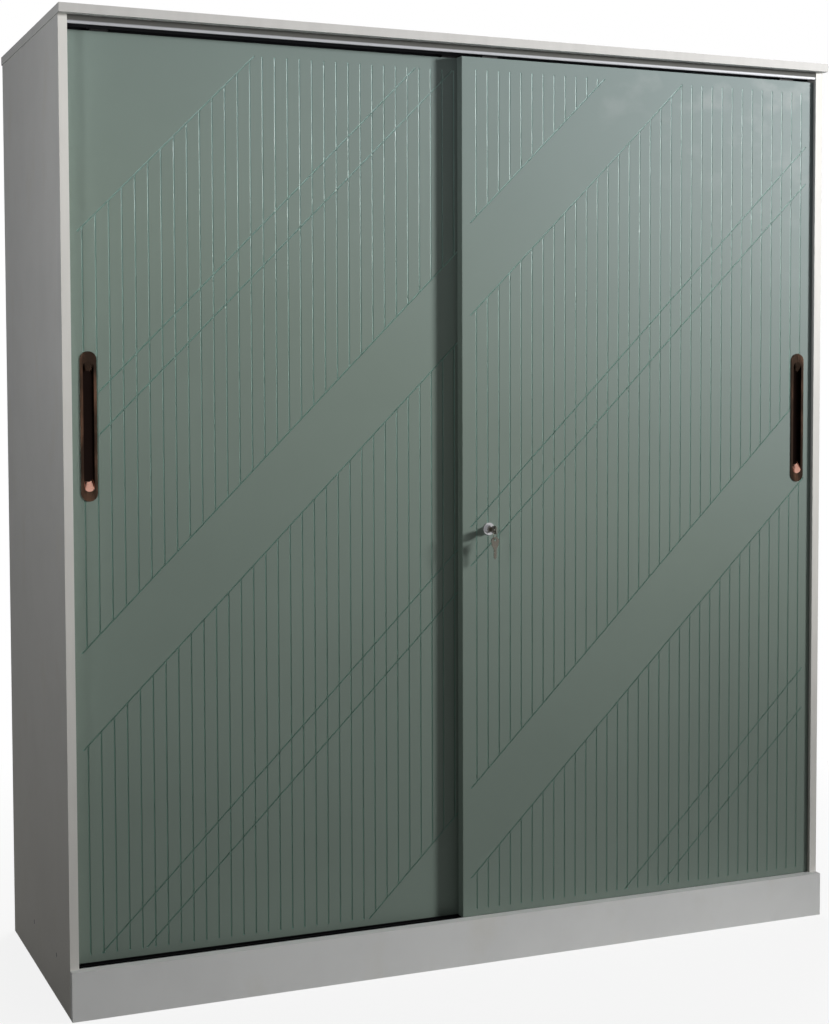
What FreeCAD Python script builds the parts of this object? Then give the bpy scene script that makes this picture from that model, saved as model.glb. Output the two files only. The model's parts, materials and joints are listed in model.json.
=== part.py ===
"""A free-standing cabinet with two sliding doors, as a parametric FreeCAD document.

Units are millimetres. The origin is on the floor under the middle of the cabinet, +Z is up, +X is to the
right of someone who faces the doors, and the doors are on the -Y side.

The driving dimensions are in the sheet Sizes, and every sub-part is an object whose sizes are bound to it.
Depths are counted from FRONT, the front edges of the two side panels. The front door is the right-hand one
and runs in front of the rear door, which is the left-hand one. Both stand closed.
"""

import FreeCAD, Part
import math
import os

import Sketcher
from FreeCAD import Placement, Rotation, Vector

# ----------------------------------------------------------------------------------------------------------
# Driving dimensions
# ----------------------------------------------------------------------------------------------------------

SIZES = {
    # carcass
    "width": 1790,  # over the two side panels
    "height": 2018,  # floor to the upper face of the top panel
    "depth": 660,  # front edge of the top panel to the back
    "board": 18,  # thickness of every carcass board
    "back_board": 3,  # hardboard back
    "back_inset": 2,  # back panels stop this far inside the outer faces
    "back_joint": 1,  # gap between the two back panels
    "front_overhang": 20,  # top panel, past the side panels' front edges
    "side_overhang": 2,  # top panel, past the side panels' outer faces
    "plinth_height": 100,
    "plinth_rear_inset": 35,  # rear plinth board, in front of the back
    # door set
    "door_thickness": 25,
    "door_setback": 8,  # front door's face, behind the side panels' front edges
    "door_gap": 5,  # between the two doors
    "door_overlap": 58,
    "door_edge": 1,  # rounding of the doors' front edges
    "side_gap": 2,  # closed door to side panel
    "headroom": 5,  # door's upper edge to the top track
    "door_sink": 1,  # door's lower edge, below the deck
    "rear_reveal": 66,  # the stop keeps this much of the slid-back rear door in reach, with its handle
    # tracks
    "track_wall": 1.5,
    "top_track_height": 17,
    "fascia_setback": 1,
    "fascia_bead": 4,  # diameter of the fascia's rounded lower edge
    "bead_lip": 0.2,  # the bead stands this far out of the fascia
    "bottom_track_height": 6,
    "track_lead": 2,  # bottom track, in front of the front door's face
    "guide_rib": 2,  # height of the ribs beside each wheel
    "partition_gap": 3,  # track to centre partition
    # bottom rollers
    "wheel_radius": 10,
    "wheel_width": 7,
    "wheel_side_play": 1,
    "wheel_lift": 0.3,  # running clearance above the track
    "axle_radius": 2,
    "axle_play": 0.05,
    "roller_inset": 90,  # wheel axis from the door's edge
    "roller_length": 46,
    "roller_height": 22,
    "roller_wall": 1.5,
    "roller_tab": 14,
    # top guides
    "guide_inset": 70,
    "guide_plate_length": 64,
    "guide_plate_width": 16,
    "guide_plate": 2,
    "guide_neck_length": 36,
    "guide_neck_width": 10,
    "guide_head_length": 44,
    "guide_head_height": 10,
    "guide_head_corner": 6,
    "guide_head_lift": 1,  # head's lower face, above the fins' lower edges
    "guide_play": 0.5,
    # routed pattern
    "groove_width": 3,
    "groove_depth": 1.5,
    "groove_pitch": 27,
    "front_first_groove": 34,  # from the door's left edge
    "rear_first_groove": 30,
    "groove_top_margin": 27,
    "groove_bottom_margin": 16,
    "diagonal_margin": 20,
    # flush handles
    "handle_inset": 39,  # handle's middle to the door's outer edge
    "handle_middle": 1191,  # above the floor
    "handle_length": 302,
    "handle_width": 34,
    "handle_flange": 1.5,
    "handle_mouth_length": 262,
    "handle_mouth_width": 22,
    "handle_floor_length": 224,
    "handle_floor_width": 19,
    "handle_depth": 12,
    "handle_wall": 1.2,
    "handle_pocket_play": 0.3,
    # push lock
    "lock_height": 956,
    "lock_edge_gap": 1,  # bolt to the rear door's edge
    "bolt_radius": 4.5,
    "bolt_rest": 2,  # bolt's tip at rest, behind the front door
    "lock_travel": 9.5,
    "plunger_radius": 9,
    "plunger_stand": 1.5,  # pushed-in plunger's face, in front of the rosette
    "lock_play": 0.1,
    "barrel_radius": 11,
    "rosette_radius": 13.5,
    "rosette": 1.2,
    "lock_nut_radius": 15,
    "lock_nut": 3,
    "plunger_depth": 4,  # plunger's rear shoulder at rest, behind the door's face
    "spring_pressed": 7,  # room for the spring behind the pushed-in plunger's shoulder
    "spring_radius": 6.6,
    "spring_wire": 0.6,  # radius of the wire
    "spring_turns": 4.5,
    "spring_play": 0.15,
    "plug_radius": 5.5,
    "plug_head": 15,  # length of the plug's thick part
    "plug_tail_radius": 3.6,  # the plug's thin part, inside the bolt
    "plug_length": 26,
    "plug_play": 0.05,
    "key_thickness": 2,
    "key_length": 49.5,
    "key_blade_width": 6.2,
    "key_blade_length": 23,
    "key_tip": 5,  # length of the pointed tip
    "key_cut_pitch": 4,
    "key_shoulder": 8,  # the blade widens to the bow over this length
    "key_shoulder_width": 16,
    "key_bow_radius": 9.25,
    "key_hole_radius": 3.2,
    "key_hole_offset": 2.5,
    "key_stand_off": 0.3,  # shoulder to the plug's face
    "ring_radius": 9.4,
    "ring_wire": 0.7,
    "ring_lift": 1,  # hanging ring's wire, clear of the hole's lowest point
    # inside
    "shelf_play": 1,
    "shelf_front_gap": 6,
    "hat_shelf_top": 1700,
    "shoe_shelf_top": 330,
    "pin_radius": 2.5,
    "pin_length": 16,
    "pin_collar_radius": 4,
    "pin_collar": 1,
    "pin_edge": 60,  # pin to the shelf's front and rear edge
    "pin_pitch": 32,  # spacing of the spare pin holes
    "rail_radius": 12.5,
    "rail_wall": 1.2,
    "rail_height": 1600,
    "socket_radius": 23,
    "socket_plate": 2.5,
    "socket_cup": 14,
    "socket_wall": 2,
    "socket_play": 0.2,
    # buffers, stop and fixings
    "buffer_radius": 6,
    "buffer_taper": 1.2,
    "buffer_play": 0.3,
    "buffer_inset": 300,
    "stop_length": 25,
    "stop_height": 11,
    "dowel_radius": 4,
    "dowel_length": 32,
    "cam_radius": 7.5,
    "cam_depth": 12.5,
    "cam_drop": 34,
    "cam_bolt_radius": 3,
    "confirmat_radius": 3.5,
    "confirmat_head": 5,
    "confirmat_length": 50,
    "screw_radius": 1.8,
    "screw_head": 3.6,
    "screw_length": 14,
    "fixing_front": 140,  # carcass fixings, from the side panels' front edges
    "fixing_spacing": 248,
}

# Heights at which each door's diagonal grooves cross the door's left edge, from the top down. They rise to
# the right at 45 degrees. A pair that bounds a band or corner keeps the upright grooves out of it, and a
# pair that crosses them is only two more lines.
FRONT_DIAGONALS = [1602, 1402, 942, 856, 365, 165, -289, -384]
REAR_DIAGONALS = [1560, 1200, 1114, 713, 515, 62, -31, -522]
FRONT_UPRIGHT_ZONES = [(1602, math.inf), (365, 1402), (-math.inf, 165)]
REAR_UPRIGHT_ZONES = [(713, 1560), (-522, 515)]

# Depths of the cuts in the edge of each key's blade, from the tip on
KEY_CUTS = [1.0, 0.5, 1.3, 0.8]

doc = FreeCAD.newDocument("SlidingDoorCabinet")
sheet = doc.addObject("Spreadsheet::Sheet", "Sizes")
for row, (name, value) in enumerate(SIZES.items(), start=1):
    sheet.set(f"A{row}", name)
    sheet.set(f"B{row}", str(value))
    sheet.setAlias(f"B{row}", name)
doc.recompute()

parts = {}  # node name: document object


def mm(expression):
    """The present value of an expression in the sheet's sizes."""
    return float(sheet.evalExpression(expression))


def size(name):
    """The expression of one driving dimension."""
    return f"Sizes.{name}"


# ----------------------------------------------------------------------------------------------------------
# Derived places, as expressions
# ----------------------------------------------------------------------------------------------------------

HALF = "(Sizes.width / 2)"
INNER = "(Sizes.width / 2 - Sizes.board)"
FRONT = "(Sizes.front_overhang - Sizes.depth / 2)"
BACK = "(Sizes.depth / 2)"
CARCASS_BACK = "(Sizes.depth / 2 - Sizes.back_board)"
CEILING = "(Sizes.height - Sizes.board)"
DECK = "Sizes.plinth_height"

DOOR_WIDTH = f"({INNER} + Sizes.door_overlap / 2 - Sizes.side_gap)"
DOOR_BOTTOM = f"({DECK} - Sizes.door_sink)"
DOOR_TOP = f"({CEILING} - Sizes.top_track_height - Sizes.headroom)"
FRONT_DOOR_LEFT = f"({INNER} - Sizes.side_gap - {DOOR_WIDTH})"
REAR_DOOR_LEFT = f"(Sizes.side_gap - {INNER})"
FRONT_DOOR_FACE = f"({FRONT} + Sizes.door_setback)"
REAR_DOOR_FACE = f"({FRONT_DOOR_FACE} + Sizes.door_thickness + Sizes.door_gap)"
FRONT_LANE = f"({FRONT_DOOR_FACE} + Sizes.door_thickness / 2)"
REAR_LANE = f"({REAR_DOOR_FACE} + Sizes.door_thickness / 2)"
MIDDLE_FIN = f"({REAR_DOOR_FACE} - Sizes.door_gap / 2)"
REAR_FIN = f"({REAR_DOOR_FACE} + Sizes.door_thickness + Sizes.door_gap / 2)"
TRACK_BACK = f"({REAR_FIN} + Sizes.track_wall)"
BOTTOM_TRACK_FRONT = f"({FRONT_DOOR_FACE} - Sizes.track_lead)"
BOTTOM_TRACK_FLOOR = f"({DECK} - Sizes.bottom_track_height + Sizes.track_wall)"
PARTITION_FRONT = f"({TRACK_BACK} + Sizes.partition_gap)"
WHEEL_AXIS = f"({BOTTOM_TRACK_FLOOR} + Sizes.wheel_lift + Sizes.wheel_radius)"
LOCK_X = f"({REAR_DOOR_LEFT} + {DOOR_WIDTH} + Sizes.lock_edge_gap + Sizes.bolt_radius)"


# ----------------------------------------------------------------------------------------------------------
# Building helpers
# ----------------------------------------------------------------------------------------------------------


def keep(name, thing):
    """Names an object after its node and lists it for export."""
    thing.Label = name
    parts[name] = thing
    return thing


def block(name, x, y, z):
    """A Part::Box between three pairs of expressions."""
    box = doc.addObject("Part::Box", name)
    for axis, side, (low, high) in zip("xyz", ("Length", "Width", "Height"), (x, y, z)):
        box.setExpression(side, f"({high}) - ({low})")
        box.setExpression(f"Placement.Base.{axis}", low)
    return box


def cylinder(name, radius, x, y_low, y_high, z):
    """A Part::Cylinder along +Y, from expressions of its radius and its place."""
    rod = doc.addObject("Part::Cylinder", name)
    rod.Placement = Placement(Vector(), Rotation(Vector(1, 0, 0), -90))
    rod.setExpression("Radius", radius)
    rod.setExpression("Height", f"({y_high}) - ({y_low})")
    for letter, place in zip("xyz", (x, y_low, z)):
        rod.setExpression(f"Placement.Base.{letter}", place)
    return rod


def cut(name, base, tools):
    """base less every tool."""
    result = doc.addObject("Part::Cut", name)
    result.Base = base
    result.Tool = tools[0] if len(tools) == 1 else fuse(name + "_tools", tools)
    return result


def fuse(name, shapes):
    result = doc.addObject("Part::MultiFuse", name)
    result.Shapes = shapes
    result.Refine = True
    return result


def group(name, shapes):
    """Separate solids that share one node."""
    result = doc.addObject("Part::Feature", name)
    result.Shape = Part.makeCompound(shapes)
    return keep(name, result)


def new_body(name):
    return doc.addObject("PartDesign::Body", name)


def new_sketch(body, plane, offset=None):
    """A sketch on one of the body's own origin planes, moved along its normal by an expression."""
    drawing = body.newObject("Sketcher::SketchObject", f"{body.Name}_sketch")
    origin = next(f for f in body.Origin.OriginFeatures if f.Role == plane)
    drawing.AttachmentSupport = [(origin, "")]
    drawing.MapMode = "FlatFace"
    if offset is not None:
        drawing.setExpression("AttachmentOffset.Base.z", offset)
    return drawing


def pin_point(drawing, index, end, x, y):
    """Ties a sketch point to two expressions, counted from the sketch's origin."""
    for kind, place in (("DistanceX", x), ("DistanceY", y)):
        number = drawing.addConstraint(Sketcher.Constraint(kind, -1, 1, index, end, mm(place)))
        drawing.setExpression(f"Constraints[{number}]", str(place))


def draw_polygon(drawing, points):
    """A closed outline through points given as pairs of expressions."""
    corners = [Vector(mm(x), mm(y), 0) for x, y in points]
    first = drawing.GeometryCount
    for start, end in zip(corners, corners[1:] + corners[:1]):
        drawing.addGeometry(Part.LineSegment(start, end))
    for n, (x, y) in enumerate(points):
        previous = first + (n - 1) % len(points)
        drawing.addConstraint(Sketcher.Constraint("Coincident", previous, 2, first + n, 1))
        pin_point(drawing, first + n, 1, x, y)


def draw_box(drawing, x_low, x_high, y_low, y_high):
    draw_polygon(drawing, [(x_low, y_low), (x_high, y_low), (x_high, y_high), (x_low, y_high)])


def draw_circle(drawing, x, y, radius):
    number = drawing.addGeometry(Part.Circle(Vector(mm(x), mm(y), 0), Vector(0, 0, 1), mm(radius)))
    pin_point(drawing, number, 3, x, y)
    rim = drawing.addConstraint(Sketcher.Constraint("Radius", number, mm(radius)))
    drawing.setExpression(f"Constraints[{rim}]", str(radius))


def draw_stadium(drawing, x, y, width, length):
    """An upright slot shape: two straight sides and two half-round ends."""
    radius = f"({width}) / 2"
    reach = f"(({length}) - ({width})) / 2"
    r, c_x, c_y, c_reach = mm(radius), mm(x), mm(y), mm(reach)
    top, bottom = Vector(c_x, c_y + c_reach, 0), Vector(c_x, c_y - c_reach, 0)
    up = Vector(0, 0, 1)
    first = drawing.GeometryCount
    drawing.addGeometry(Part.ArcOfCircle(Part.Circle(top, up, r), 0, math.pi))
    drawing.addGeometry(Part.LineSegment(top + Vector(-r, 0, 0), bottom + Vector(-r, 0, 0)))
    drawing.addGeometry(Part.ArcOfCircle(Part.Circle(bottom, up, r), math.pi, 2 * math.pi))
    drawing.addGeometry(Part.LineSegment(bottom + Vector(r, 0, 0), top + Vector(r, 0, 0)))
    for n in range(4):
        drawing.addConstraint(Sketcher.Constraint("Tangent", first + n, 2, first + (n + 1) % 4, 1))
    pin_point(drawing, first, 3, x, f"({y}) + {reach}")
    pin_point(drawing, first + 2, 3, x, f"({y}) - {reach}")
    for arc in (first, first + 2):
        rim = drawing.addConstraint(Sketcher.Constraint("Radius", arc, r))
        drawing.setExpression(f"Constraints[{rim}]", radius)


def add_feature(body, kind, drawing, **settings):
    """A sketch-based feature of the body. Text settings are expressions, others plain values."""
    feature = body.newObject(f"PartDesign::{kind}", f"{body.Name}_{kind}")
    feature.Profile = drawing
    for key, value in settings.items():
        if isinstance(value, str):
            feature.setExpression(key, value)
        else:
            setattr(feature, key, value)
    drawing.Visibility = False
    return feature


def screw_shape(tip, direction, radius, head_radius, length):
    """A countersunk screw whose head is flush at tip and whose shank runs along direction."""
    head = Part.makeCone(head_radius, radius, head_radius - radius, tip, direction)
    shank = Part.makeCylinder(radius, length, tip, direction)
    return head.fuse(shank).removeSplitter()


def bored(name, base, holes):
    """base less plain shapes of holes, which stay in the document as one feature."""
    tool = doc.addObject("Part::Feature", name + "_bores")
    tool.Shape = Part.makeCompound(holes)
    result = doc.addObject("Part::Cut", name)
    result.Base = base
    result.Tool = tool
    return result


# ----------------------------------------------------------------------------------------------------------
# Fixings: their places, worked out once for the screws and for the holes that take them
# ----------------------------------------------------------------------------------------------------------

X_UP, Y_UP, Z_UP = Vector(1, 0, 0), Vector(0, 1, 0), Vector(0, 0, 1)
half, inner, board = mm(HALF), mm(INNER), mm(size("board"))
front, carcass_back, ceiling, deck = mm(FRONT), mm(CARCASS_BACK), mm(CEILING), mm(DECK)
fixing_rows = [front + mm(size("fixing_front")) + n * mm(size("fixing_spacing")) for n in range(2)]
bottom_middle = deck - board / 2


def countersunk(tip, direction, length=None):
    """A small wood screw with its head flush at tip."""
    reach = mm(size("screw_length")) if length is None else length
    return screw_shape(tip, direction, mm(size("screw_radius")), mm(size("screw_head")), reach)


def confirmat(tip, direction):
    """A carcass screw with a cylindrical head."""
    head_length = mm(size("confirmat_head"))
    head = Part.makeCylinder(mm(size("confirmat_head")), head_length, tip, direction)
    shank = Part.makeCylinder(mm(size("confirmat_radius")), mm(size("confirmat_length")), tip, direction)
    return head.fuse(shank).removeSplitter()


left_confirmats = [confirmat(Vector(-half, y, bottom_middle), X_UP) for y in fixing_rows]
right_confirmats = [confirmat(Vector(half, y, bottom_middle), -X_UP) for y in fixing_rows]
partition_confirmats = [confirmat(Vector(0, y, deck - board), Z_UP) for y in fixing_rows]

dowel_rows = [y + mm(size("pin_pitch")) for y in fixing_rows]
dowel_length, dowel_radius = mm(size("dowel_length")), mm(size("dowel_radius"))
top_mid_x = half - board / 2


def dowel(x, y):
    """A dowel that reaches less far into the top panel than into the upright under it."""
    foot = Vector(x, y, ceiling + board * 2 / 3 - dowel_length)
    return Part.makeCylinder(dowel_radius, dowel_length, foot, Z_UP)


def cam(side, y):
    """The cam of a knock-down fitting, let into a side panel's inner face."""
    face = Vector(side * inner, y, ceiling - mm(size("cam_drop")))
    return Part.makeCylinder(mm(size("cam_radius")), mm(size("cam_depth")), face, side * X_UP)


def cam_bolt(side, y):
    """The bolt that the cam draws down; it is screwed into the top panel."""
    foot_z = ceiling - mm(size("cam_drop"))
    foot = Vector(side * top_mid_x, y, foot_z)
    return Part.makeCylinder(mm(size("cam_bolt_radius")), ceiling + board * 2 / 3 - foot_z, foot, Z_UP)


dowels = {x: [dowel(x, y) for y in dowel_rows] for x in (-top_mid_x, 0, top_mid_x)}
cam_bolts = {side: [cam_bolt(side, y) for y in fixing_rows] for side in (-1, 1)}
cams = [cam(side, y).cut(cam_bolt(side, y)) for side in (-1, 1) for y in fixing_rows]
cam_holes = {side: [cam(side, y).fuse(cam_bolt(side, y)) for y in fixing_rows] for side in (-1, 1)}

# Shelves: name -> (low x, high x, height of the upper face), all expressions
LEFT_BAY = (f"(-{INNER})", "(-Sizes.board / 2)")
RIGHT_BAY = ("(Sizes.board / 2)", INNER)
LEFT_SHELVES = ["left_lower_shelf", "left_second_shelf", "left_third_shelf", "left_upper_shelf"]
shelf_tops = {
    name: f"({DECK} + ({CEILING} - {DECK}) * {n} / {len(LEFT_SHELVES) + 1})"
    for n, name in enumerate(LEFT_SHELVES, start=1)
}
shelves = {name: (*LEFT_BAY, top) for name, top in shelf_tops.items()}
shelves["right_hat_shelf"] = (*RIGHT_BAY, size("hat_shelf_top"))
shelves["right_shoe_shelf"] = (*RIGHT_BAY, size("shoe_shelf_top"))
SHELF_FRONT = f"({PARTITION_FRONT} + Sizes.shelf_front_gap)"

pin_radius, pin_length, pin_pitch = mm(size("pin_radius")), mm(size("pin_length")), mm(size("pin_pitch"))
pin_collar = mm(size("pin_collar"))
pin_rows = [mm(SHELF_FRONT) + mm(size("pin_edge")), carcass_back - mm(size("pin_edge"))]


def pin_height(top):
    """The axis of the pins under a shelf, whose lower face rests on them."""
    return mm(top) - board - pin_radius


def shelf_pin(x, y, z, inward):
    """A pin half in the upright at x, with a collar against it."""
    rod = Part.makeCylinder(pin_radius, pin_length, Vector(x, y, z) - inward * pin_length / 2, inward)
    collar = Part.makeCylinder(mm(size("pin_collar_radius")), pin_collar, Vector(x, y, z), inward)
    trim = Part.makeBox(pin_length, pin_length, pin_length)
    trim.translate(Vector(x - pin_length / 2, y - pin_length / 2, z + pin_radius))
    return rod.fuse(collar).cut(trim).removeSplitter()


def pin_holes(x, z, outward):
    """The hole of each pin and the spare ones above and below it."""
    return [
        Part.makeCylinder(pin_radius, pin_length / 2, Vector(x, y, z + step * pin_pitch), outward)
        for y in pin_rows
        for step in (-1, 0, 1)
    ]


pins = {"left": [], "right": []}
upright_holes = {"left_side": [], "partition": [], "right_side": []}
for name, (low, high, top) in shelves.items():
    bay = name.split("_")[0]
    z = pin_height(top)
    for x, inward in ((mm(low), X_UP), (mm(high), -X_UP)):
        pins[bay] += [shelf_pin(x, y, z, inward) for y in pin_rows]
        upright = "left_side" if x < -board else "right_side" if x > board else "partition"
        upright_holes[upright] += pin_holes(x, z, -inward)

# The hanging rail's end sockets and their screws
rail_y = (mm(PARTITION_FRONT) + carcass_back) / 2
rail_z = mm(size("rail_height"))
rail_ends = [(mm(RIGHT_BAY[0]), X_UP), (mm(RIGHT_BAY[1]), -X_UP)]
socket_screw_ring = (mm(size("socket_radius")) + mm(size("rail_radius")) + mm(size("socket_wall"))) / 2
socket_screws = {
    x: [
        countersunk(Vector(x, rail_y, rail_z) + inward * mm(size("socket_plate")) + Z_UP * offset, -inward)
        for offset in (-socket_screw_ring, socket_screw_ring)
    ]
    for x, inward in rail_ends
}

# Screws of the two tracks, three along each lane
lanes = [mm(FRONT_LANE), mm(REAR_LANE)]
track_screw_xs = [-inner * 2 / 3, 0, inner * 2 / 3]
track_wall = mm(size("track_wall"))
top_track_screws = [
    countersunk(Vector(x, y, ceiling - track_wall), Z_UP) for x in track_screw_xs for y in lanes
]
bottom_track_floor = mm(BOTTOM_TRACK_FLOOR)
bottom_screw_length = bottom_track_floor - (deck - board) - 2 * track_wall
bottom_track_screws = [
    countersunk(Vector(x, y, bottom_track_floor), -Z_UP, bottom_screw_length)
    for x in track_screw_xs
    for y in lanes
]

# ----------------------------------------------------------------------------------------------------------
# Carcass
# ----------------------------------------------------------------------------------------------------------


def side_panel(name, x_low, x_high, holes):
    blank = block(name + "_blank", (x_low, x_high), (FRONT, CARCASS_BACK), ("0", CEILING))
    return keep(name, bored(name, blank, holes))


side_panel(
    "left_side_panel",
    f"(-{HALF})",
    f"(-{INNER})",
    left_confirmats + dowels[-top_mid_x] + cam_holes[-1] + upright_holes["left_side"],
)
side_panel(
    "right_side_panel",
    INNER,
    HALF,
    right_confirmats
    + dowels[top_mid_x]
    + cam_holes[1]
    + upright_holes["right_side"]
    + socket_screws[mm(INNER)],
)

top_blank = block(
    "top_panel_blank",
    (f"(-{HALF} - Sizes.side_overhang)", f"({HALF} + Sizes.side_overhang)"),
    ("(-Sizes.depth / 2)", BACK),
    (CEILING, size("height")),
)
top_holes = [shape for column in dowels.values() for shape in column] + top_track_screws
top_holes += cam_bolts[-1] + cam_bolts[1]
keep("top_panel", bored("top_panel", top_blank, top_holes))

# The bottom panel is rebated for the bottom track, whose upper edges are flush with the deck.
bottom = new_body("bottom_panel_blank")
profile = new_sketch(bottom, "YZ_Plane", f"(-{INNER})")
underside = f"({DECK} - Sizes.board)"
rebate = f"({DECK} - Sizes.bottom_track_height)"
draw_polygon(
    profile,
    [
        (FRONT, underside),
        (CARCASS_BACK, underside),
        (CARCASS_BACK, DECK),
        (TRACK_BACK, DECK),
        (TRACK_BACK, rebate),
        (BOTTOM_TRACK_FRONT, rebate),
        (BOTTOM_TRACK_FRONT, DECK),
        (FRONT, DECK),
    ],
)
add_feature(bottom, "Pad", profile, Length=f"2 * {INNER}")
bottom_holes = left_confirmats + right_confirmats + partition_confirmats + bottom_track_screws
doc.recompute()
keep("bottom_panel", bored("bottom_panel", bottom, bottom_holes))

partition_blank = block(
    "centre_partition_blank",
    ("(-Sizes.board / 2)", "(Sizes.board / 2)"),
    (PARTITION_FRONT, CARCASS_BACK),
    (DECK, CEILING),
)
partition_holes = partition_confirmats + dowels[0] + upright_holes["partition"]
partition_holes += socket_screws[mm(RIGHT_BAY[0])]
keep("centre_partition", bored("centre_partition", partition_blank, partition_holes))

back_edge = f"({HALF} - Sizes.back_inset)"
for name, x_low, x_high in (
    ("left_back_panel", f"(-{back_edge})", "(-Sizes.back_joint / 2)"),
    ("right_back_panel", "(Sizes.back_joint / 2)", back_edge),
):
    keep(name, block(name, (x_low, x_high), (CARCASS_BACK, BACK), (underside, CEILING)))

keep(
    "plinth_front_board",
    block("plinth_front_board", (f"(-{HALF})", HALF), (f"({FRONT} - Sizes.board)", FRONT), ("0", DECK)),
)
plinth_rear_face = f"({CARCASS_BACK} - Sizes.plinth_rear_inset - Sizes.board)"
keep(
    "plinth_rear_board",
    block(
        "plinth_rear_board",
        (f"(-{INNER})", INNER),
        (plinth_rear_face, f"({plinth_rear_face} + Sizes.board)"),
        ("0", underside),
    ),
)
keep(
    "plinth_centre_support",
    block(
        "plinth_centre_support",
        ("(-Sizes.board / 2)", "(Sizes.board / 2)"),
        (FRONT, plinth_rear_face),
        ("0", underside),
    ),
)

for name, (low, high, top) in shelves.items():
    keep(
        name,
        block(
            name,
            (f"({low} + Sizes.shelf_play)", f"({high} - Sizes.shelf_play)"),
            (SHELF_FRONT, CARCASS_BACK),
            (f"({top} - Sizes.board)", top),
        ),
    )

group("left_shelf_pins", pins["left"])
group("right_shelf_pins", pins["right"])
group("carcass_screws", left_confirmats + right_confirmats + partition_confirmats)
group("top_panel_dowels", [shape for column in dowels.values() for shape in column])
group("top_panel_cams", cams)
group("top_panel_cam_bolts", cam_bolts[-1] + cam_bolts[1])

# ----------------------------------------------------------------------------------------------------------
# Hanging rail
# ----------------------------------------------------------------------------------------------------------

RAIL_Y = f"(({PARTITION_FRONT} + {CARCASS_BACK}) / 2)"
rail_start = f"({RIGHT_BAY[0]} + Sizes.socket_plate + Sizes.buffer_play)"
rail_stop = f"({RIGHT_BAY[1]} - Sizes.socket_plate - Sizes.buffer_play)"
rail = new_body("hanging_rail")
tube = new_sketch(rail, "YZ_Plane", rail_start)
draw_circle(tube, RAIL_Y, size("rail_height"), size("rail_radius"))
draw_circle(tube, RAIL_Y, size("rail_height"), "(Sizes.rail_radius - Sizes.rail_wall)")
add_feature(rail, "Pad", tube, Length=f"{rail_stop} - {rail_start}")
keep("hanging_rail", rail)


def rail_socket(name, x, inward):
    """A round plate with a cup that holds the rail's end."""
    seat = Vector(x, rail_y, rail_z)
    plate = mm(size("socket_plate"))
    bore_radius = mm(size("rail_radius")) + mm(size("socket_play"))
    disc = Part.makeCylinder(mm(size("socket_radius")), plate, seat, inward)
    cup_radius = mm(size("rail_radius")) + mm(size("socket_wall"))
    cup = Part.makeCylinder(cup_radius, plate + mm(size("socket_cup")), seat, inward)
    bore = Part.makeCylinder(bore_radius, mm(size("socket_cup")), seat + inward * plate, inward)
    socket = doc.addObject("Part::Feature", name)
    socket.Shape = disc.fuse(cup).cut([bore, *socket_screws[x]]).removeSplitter()
    keep(name, socket)


for name, (x, inward) in zip(("rail_left_socket", "rail_right_socket"), rail_ends):
    rail_socket(name, x, inward)
group("rail_socket_screws", [shape for pair in socket_screws.values() for shape in pair])

# ----------------------------------------------------------------------------------------------------------
# Tracks
# ----------------------------------------------------------------------------------------------------------

# Top track: a web under the top panel and three fins; the foremost is the bright fascia, with a beaded edge.
FASCIA = f"({FRONT} + Sizes.fascia_setback)"
web = f"({CEILING} - Sizes.track_wall)"
fin_low = f"({CEILING} - Sizes.top_track_height)"
bead_middle = f"({fin_low} + Sizes.fascia_bead / 2)"
bead_axis = f"({FASCIA} + Sizes.fascia_bead / 2 - Sizes.bead_lip)"
middle_low = f"({MIDDLE_FIN} - Sizes.track_wall / 2)"
middle_high = f"({MIDDLE_FIN} + Sizes.track_wall / 2)"
fascia_back = f"({FASCIA} + Sizes.track_wall)"
top_track = new_body("top_track_blank")
profile = new_sketch(top_track, "YZ_Plane", f"(-{INNER})")
draw_polygon(
    profile,
    [
        (FASCIA, CEILING),
        (FASCIA, bead_middle),
        (fascia_back, bead_middle),
        (fascia_back, web),
        (middle_low, web),
        (middle_low, fin_low),
        (middle_high, fin_low),
        (middle_high, web),
        (REAR_FIN, web),
        (REAR_FIN, fin_low),
        (TRACK_BACK, fin_low),
        (TRACK_BACK, CEILING),
    ],
)
add_feature(top_track, "Pad", profile, Length=f"2 * {INNER}")
bead = new_sketch(top_track, "YZ_Plane", f"(-{INNER})")
draw_circle(bead, bead_axis, bead_middle, "(Sizes.fascia_bead / 2)")
add_feature(top_track, "Pad", bead, Length=f"2 * {INNER}")
doc.recompute()
keep("top_track", bored("top_track", top_track, top_track_screws))

# Bottom track: a wall in front of each door and behind the rear one, and two ribs beside each lane's wheels.
WALL = "Sizes.track_wall"
rib_top = f"({BOTTOM_TRACK_FLOOR} + Sizes.guide_rib)"
rib_inner = "(Sizes.wheel_width / 2 + Sizes.wheel_side_play / 2)"


def rib(middle, side):
    """The four corners of one rib of a lane; side is -1 in front of the wheel and 1 behind it."""
    near, far = f"({middle} + {side} * {rib_inner})", f"({middle} + {side} * ({rib_inner} + {WALL}))"
    first, last = (near, far) if side > 0 else (far, near)
    return [(last, BOTTOM_TRACK_FLOOR), (last, rib_top), (first, rib_top), (first, BOTTOM_TRACK_FLOOR)]


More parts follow.
